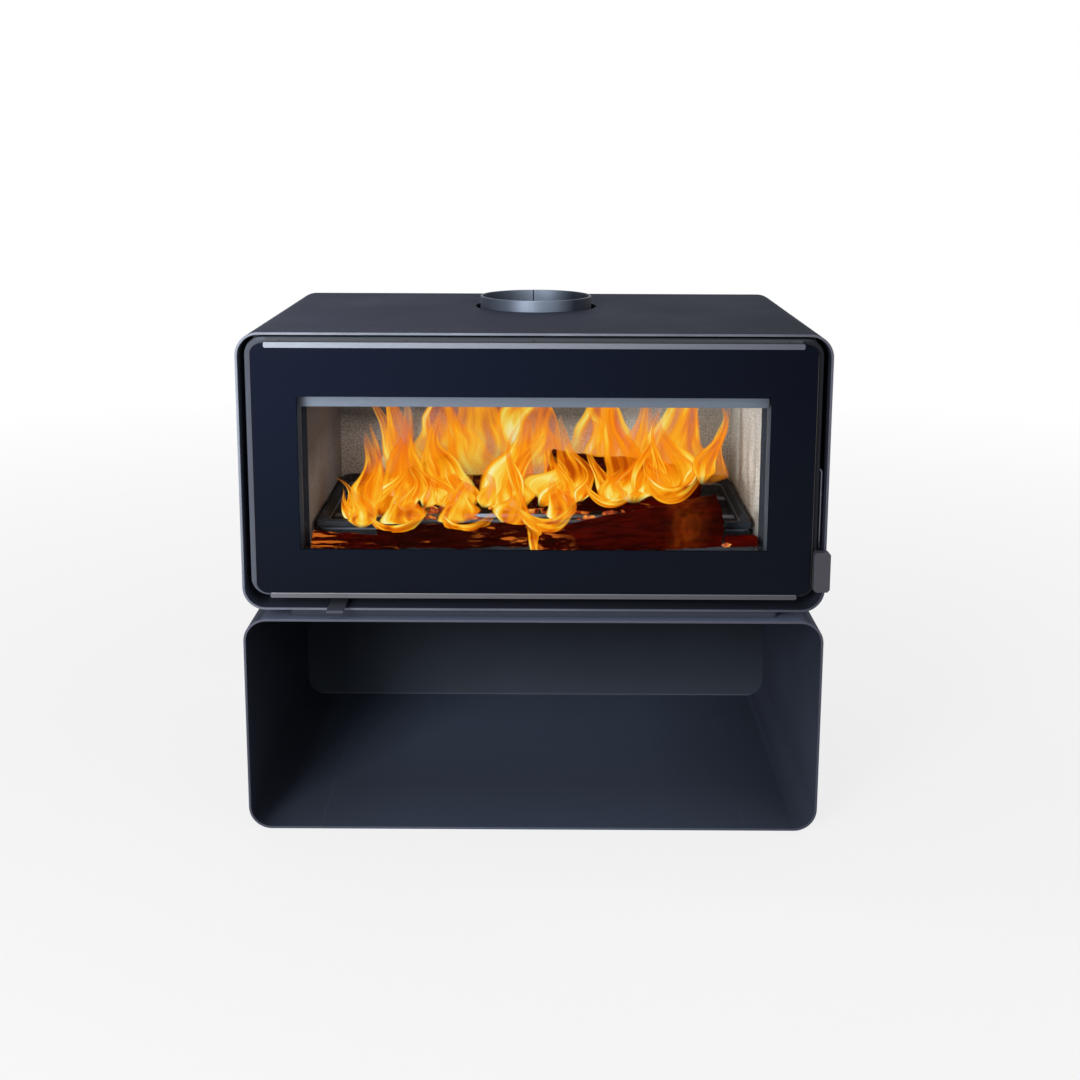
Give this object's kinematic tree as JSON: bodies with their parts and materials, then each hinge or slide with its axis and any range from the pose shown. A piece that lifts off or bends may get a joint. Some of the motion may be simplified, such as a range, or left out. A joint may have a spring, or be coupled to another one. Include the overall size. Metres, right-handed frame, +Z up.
{
  "type": "wood burning stove",
  "caption": "Wide wood burning stove: glazed door on a lined steel firebox in a wrapped casing, on an open log store, with a round flue collar, a lever latch and a sliding air control.",
  "frame": {"origin": "on the floor, at the middle of the casing's width and depth", "axes": "+X to the viewer's right along the width, +Y from the door to the back, +Z up along the flue collar's axis"},
  "size_m": [0.703, 0.474, 0.6313],
  "materials": {
    "painted_steel": "satin heat-proof paint, dark blue-grey",
    "firebox_steel": "matt black heat-proof paint",
    "bare_steel": "satin bare steel, slightly heat tinted",
    "cast_iron": "sand-cast grey iron",
    "lining_board": "matt pressed refractory board, beige",
    "seal_rope": "knitted glass fibre, charcoal",
    "door_glass": "clear ceramic glass with a black printed border",
    "knob": "matt dark grey coating"
  },
  "bodies": {
    "stove": {"base_casing": "painted_steel", "base_back_panel": "painted_steel", "base_spacer": "firebox_steel", "base_bolts": "bare_steel", "base_nuts": "bare_steel", "outer_casing": "painted_steel", "casing_back_panel": "painted_steel", "casing_tabs": "firebox_steel", "casing_panel_screws": "bare_steel", "firebox_feet": "firebox_steel", "firebox_floor": "firebox_steel", "firebox_side_right": "firebox_steel", "firebox_side_left": "firebox_steel", "firebox_back": "firebox_steel", "firebox_top": "firebox_steel", "firebox_front": "firebox_steel", "liner_right": "lining_board", "liner_left": "lining_board", "liner_back": "lining_board", "floor_bricks": "lining_board", "baffle_supports": "firebox_steel", "baffle_plate": "lining_board", "firebed_tray": "cast_iron", "front_ledge": "firebox_steel", "air_wash_channel": "bare_steel", "air_wash_ducts": "firebox_steel", "rear_air_duct": "firebox_steel", "air_box": "firebox_steel", "slide_runners": "firebox_steel", "flue_spigot": "painted_steel", "spigot_screws": "bare_steel", "hinge_lugs": "firebox_steel", "hinge_pins": "bare_steel", "latch_catch": "firebox_steel", "catch_screws": "bare_steel"},
    "door": {"door_frame": "painted_steel", "hinge_blocks": "firebox_steel", "rope_channel": "firebox_steel", "door_rope_seal": "seal_rope", "glass_tape": "seal_rope", "door_glass": "door_glass", "glass_clip_top": "bare_steel", "glass_clip_bottom": "bare_steel", "glass_clip_screws": "bare_steel", "latch_housing": "firebox_steel"},
    "handle": {"handle_rod": "bare_steel", "handle_knob": "knob", "latch_hook": "firebox_steel", "latch_nut": "bare_steel"},
    "slide": {"air_slide": "painted_steel"}
  },
  "joints": [
    {"name": "door_hinge", "type": "hinge", "parent": "stove", "child": "door", "pos_m": [-0.325, -0.21, 0.454], "axis": [0, 0, -1], "range_deg": [0, 90]},
    {"name": "handle_lever", "type": "hinge", "parent": "door", "child": "handle", "pos_m": [0.33, -0.208, 0.453], "axis": [-1, 0, 0], "range_deg": [0, 70]},
    {"name": "air_slide", "type": "slide", "parent": "stove", "child": "slide", "axis": [1, 0, 0], "range_m": [0, 0.06]}
  ]
}
